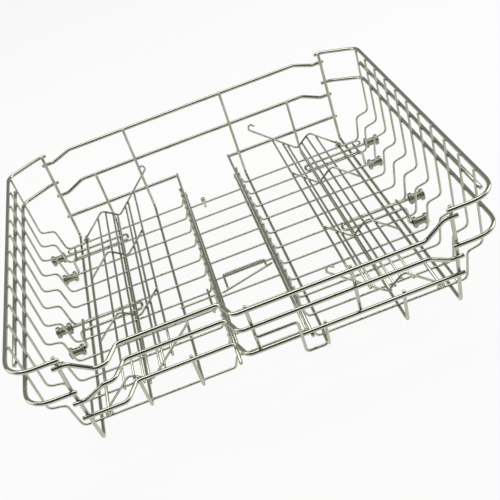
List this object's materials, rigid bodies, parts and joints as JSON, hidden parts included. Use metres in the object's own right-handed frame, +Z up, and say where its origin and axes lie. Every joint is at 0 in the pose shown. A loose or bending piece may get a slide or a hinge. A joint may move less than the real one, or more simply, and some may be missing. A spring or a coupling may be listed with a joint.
{
  "type": "dishwasher upper rack",
  "caption": "Wire upper rack for a dishwasher, with leaning front, set-back left bay, two fold-up plate rows, divider fences and guide rollers.",
  "frame": {"origin": "middle of the bounding box's underside, on the surface that the lower rollers stand on", "axes": "+X to the right, +Y to the back, +Z up"},
  "size_m": [0.5314, 0.4736, 0.1742],
  "materials": {
    "coated_wire": "satin grey plastic coat on steel wire",
    "roller_plastic": "matt grey moulded plastic"
  },
  "bodies": {
    "rack": {"back_second_rail": "coated_wire", "back_third_rails": "coated_wire", "back_top_rail": "coated_wire", "cross_wire_01": "coated_wire", "cross_wire_02": "coated_wire", "cross_wire_03": "coated_wire", "cross_wire_04": "coated_wire", "cross_wire_05": "coated_wire", "cross_wire_06": "coated_wire", "cross_wire_07": "coated_wire", "cross_wire_08": "coated_wire", "cross_wire_09": "coated_wire", "cross_wire_10": "coated_wire", "cross_wire_11": "coated_wire", "floor_hoop_far_left": "coated_wire", "floor_hoop_far_right": "coated_wire", "floor_hoop_left": "coated_wire", "floor_hoop_right": "coated_wire", "front_notch_wire": "coated_wire", "front_second_rail": "coated_wire", "front_third_rail": "coated_wire", "front_top_rail": "coated_wire", "front_uprights": "coated_wire", "hinge_staples": "coated_wire", "left_corner_hoop": "coated_wire", "left_fence_pins": "coated_wire", "left_fence_wires": "coated_wire", "left_front_axle": "coated_wire", "left_rear_axle": "coated_wire", "left_rim_rail": "coated_wire", "left_side_low_rail": "coated_wire", "left_side_mid_rail": "coated_wire", "right_corner_hoop": "coated_wire", "right_fence_pins": "coated_wire", "right_fence_wires": "coated_wire", "right_front_axle": "coated_wire", "right_rear_axle": "coated_wire", "right_rim_rail": "coated_wire", "right_side_low_rail": "coated_wire", "right_side_mid_rail": "coated_wire", "spray_pipe_clip": "coated_wire", "spray_pipe_stud": "coated_wire", "tie_wires": "coated_wire"},
    "left_plate_row": {"left_row_zigzags": "coated_wire", "left_row_long_wires": "coated_wire", "left_row_hinge_rod": "coated_wire"},
    "right_plate_row": {"right_row_zigzags": "coated_wire", "right_row_long_wires": "coated_wire", "right_row_hinge_rod": "coated_wire"},
    "left_front_lower_roller": {"left_front_lower_roller": "roller_plastic"},
    "left_front_upper_roller": {"left_front_upper_roller": "roller_plastic"},
    "left_rear_lower_roller": {"left_rear_lower_roller": "roller_plastic"},
    "left_rear_upper_roller": {"left_rear_upper_roller": "roller_plastic"},
    "right_front_lower_roller": {"right_front_lower_roller": "roller_plastic"},
    "right_front_upper_roller": {"right_front_upper_roller": "roller_plastic"},
    "right_rear_lower_roller": {"right_rear_lower_roller": "roller_plastic"},
    "right_rear_upper_roller": {"right_rear_upper_roller": "roller_plastic"}
  },
  "joints": [
    {"name": "right_plate_row_fold", "type": "hinge", "parent": "rack", "child": "right_plate_row", "pos_m": [0.2005, 0.00671, 0.03973], "axis": [0, 1, 0], "range_deg": [0, 75]},
    {"name": "left_plate_row_fold", "type": "hinge", "parent": "rack", "child": "left_plate_row", "pos_m": [-0.2005, 0.00671, 0.03973], "axis": [0, -1, 0], "range_deg": [0, 75]},
    {"name": "left_front_lower_roller_spin", "type": "hinge", "parent": "rack", "child": "left_front_lower_roller", "pos_m": [-0.241, -0.01231, 0.00793], "axis": [1, 0, 0], "continuous": true},
    {"name": "left_front_upper_roller_spin", "type": "hinge", "parent": "rack", "child": "left_front_upper_roller", "pos_m": [-0.2465, 0.00319, 0.03543], "axis": [1, 0, 0], "continuous": true},
    {"name": "left_rear_lower_roller_spin", "type": "hinge", "parent": "rack", "child": "left_rear_lower_roller", "pos_m": [-0.241, 0.16247, 0.00793], "axis": [1, 0, 0], "continuous": true},
    {"name": "left_rear_upper_roller_spin", "type": "hinge", "parent": "rack", "child": "left_rear_upper_roller", "pos_m": [-0.2465, 0.17797, 0.03543], "axis": [1, 0, 0], "continuous": true},
    {"name": "right_front_lower_roller_spin", "type": "hinge", "parent": "rack", "child": "right_front_lower_roller", "pos_m": [0.241, -0.01231, 0.00793], "axis": [1, 0, 0], "continuous": true},
    {"name": "right_front_upper_roller_spin", "type": "hinge", "parent": "rack", "child": "right_front_upper_roller", "pos_m": [0.2465, 0.00319, 0.03543], "axis": [1, 0, 0], "continuous": true},
    {"name": "right_rear_lower_roller_spin", "type": "hinge", "parent": "rack", "child": "right_rear_lower_roller", "pos_m": [0.241, 0.16247, 0.00793], "axis": [1, 0, 0], "continuous": true},
    {"name": "right_rear_upper_roller_spin", "type": "hinge", "parent": "rack", "child": "right_rear_upper_roller", "pos_m": [0.2465, 0.17797, 0.03543], "axis": [1, 0, 0], "continuous": true}
  ]
}
